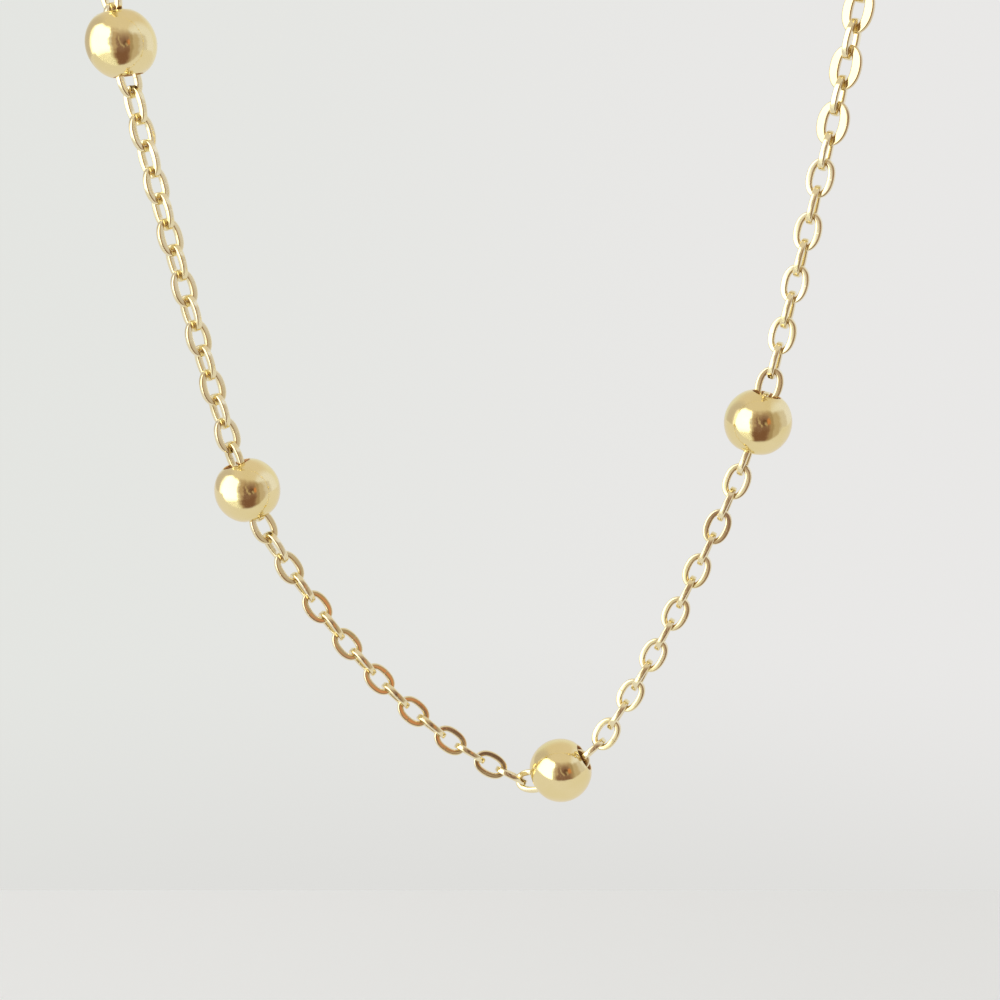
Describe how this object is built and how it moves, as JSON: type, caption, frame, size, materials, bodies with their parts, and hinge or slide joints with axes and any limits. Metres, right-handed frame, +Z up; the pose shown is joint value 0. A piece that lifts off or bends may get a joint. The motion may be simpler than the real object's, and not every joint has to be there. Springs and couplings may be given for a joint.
{
  "type": "ball station chain necklace",
  "caption": "Fine cable chain necklace with plain round gold balls threaded on it at even steps and a spring ring clasp, kept in its hanging form.",
  "frame": {"origin": "underside of the top ball, where the hanging loop rests on what holds it up", "axes": "+Z up, the loop hangs in the XZ plane, and -Y is the side that the picture looks at; +X is to the right there"},
  "size_m": [0.0537, 0.003, 0.2067],
  "materials": {
    "ball_gold": "polished pale gold plate",
    "chain_gold": "polished pale gold plate",
    "clasp_gold": "polished pale gold plate"
  },
  "bodies": {
    "root": {"ball_01": "ball_gold", "ball_02": "ball_gold", "ball_03": "ball_gold", "ball_04": "ball_gold", "ball_05": "ball_gold", "ball_06": "ball_gold", "ball_07": "ball_gold", "ball_08": "ball_gold", "ball_09": "ball_gold", "ball_10": "ball_gold", "ball_11": "ball_gold", "ball_12": "ball_gold", "ball_13": "ball_gold", "ball_14": "ball_gold", "ball_15": "ball_gold", "ball_16": "ball_gold", "ball_17": "ball_gold", "ball_18": "ball_gold", "ball_19": "ball_gold", "ball_20": "ball_gold", "ball_21": "ball_gold", "chain_01": "chain_gold", "chain_02": "chain_gold", "chain_03": "chain_gold", "chain_04": "chain_gold", "chain_05": "chain_gold", "chain_06": "chain_gold", "chain_07": "chain_gold", "chain_08": "chain_gold", "chain_09": "chain_gold", "chain_10": "chain_gold", "chain_11": "chain_gold", "chain_12": "chain_gold", "chain_13": "chain_gold", "chain_14": "chain_gold", "chain_15": "chain_gold", "chain_16": "chain_gold", "chain_17": "chain_gold", "chain_18": "chain_gold", "chain_19": "chain_gold", "chain_20": "chain_gold", "chain_21": "chain_gold", "chain_22": "chain_gold", "clasp": "clasp_gold", "ring_upper": "clasp_gold", "ring_lower": "clasp_gold"}
  },
  "joints": []
}
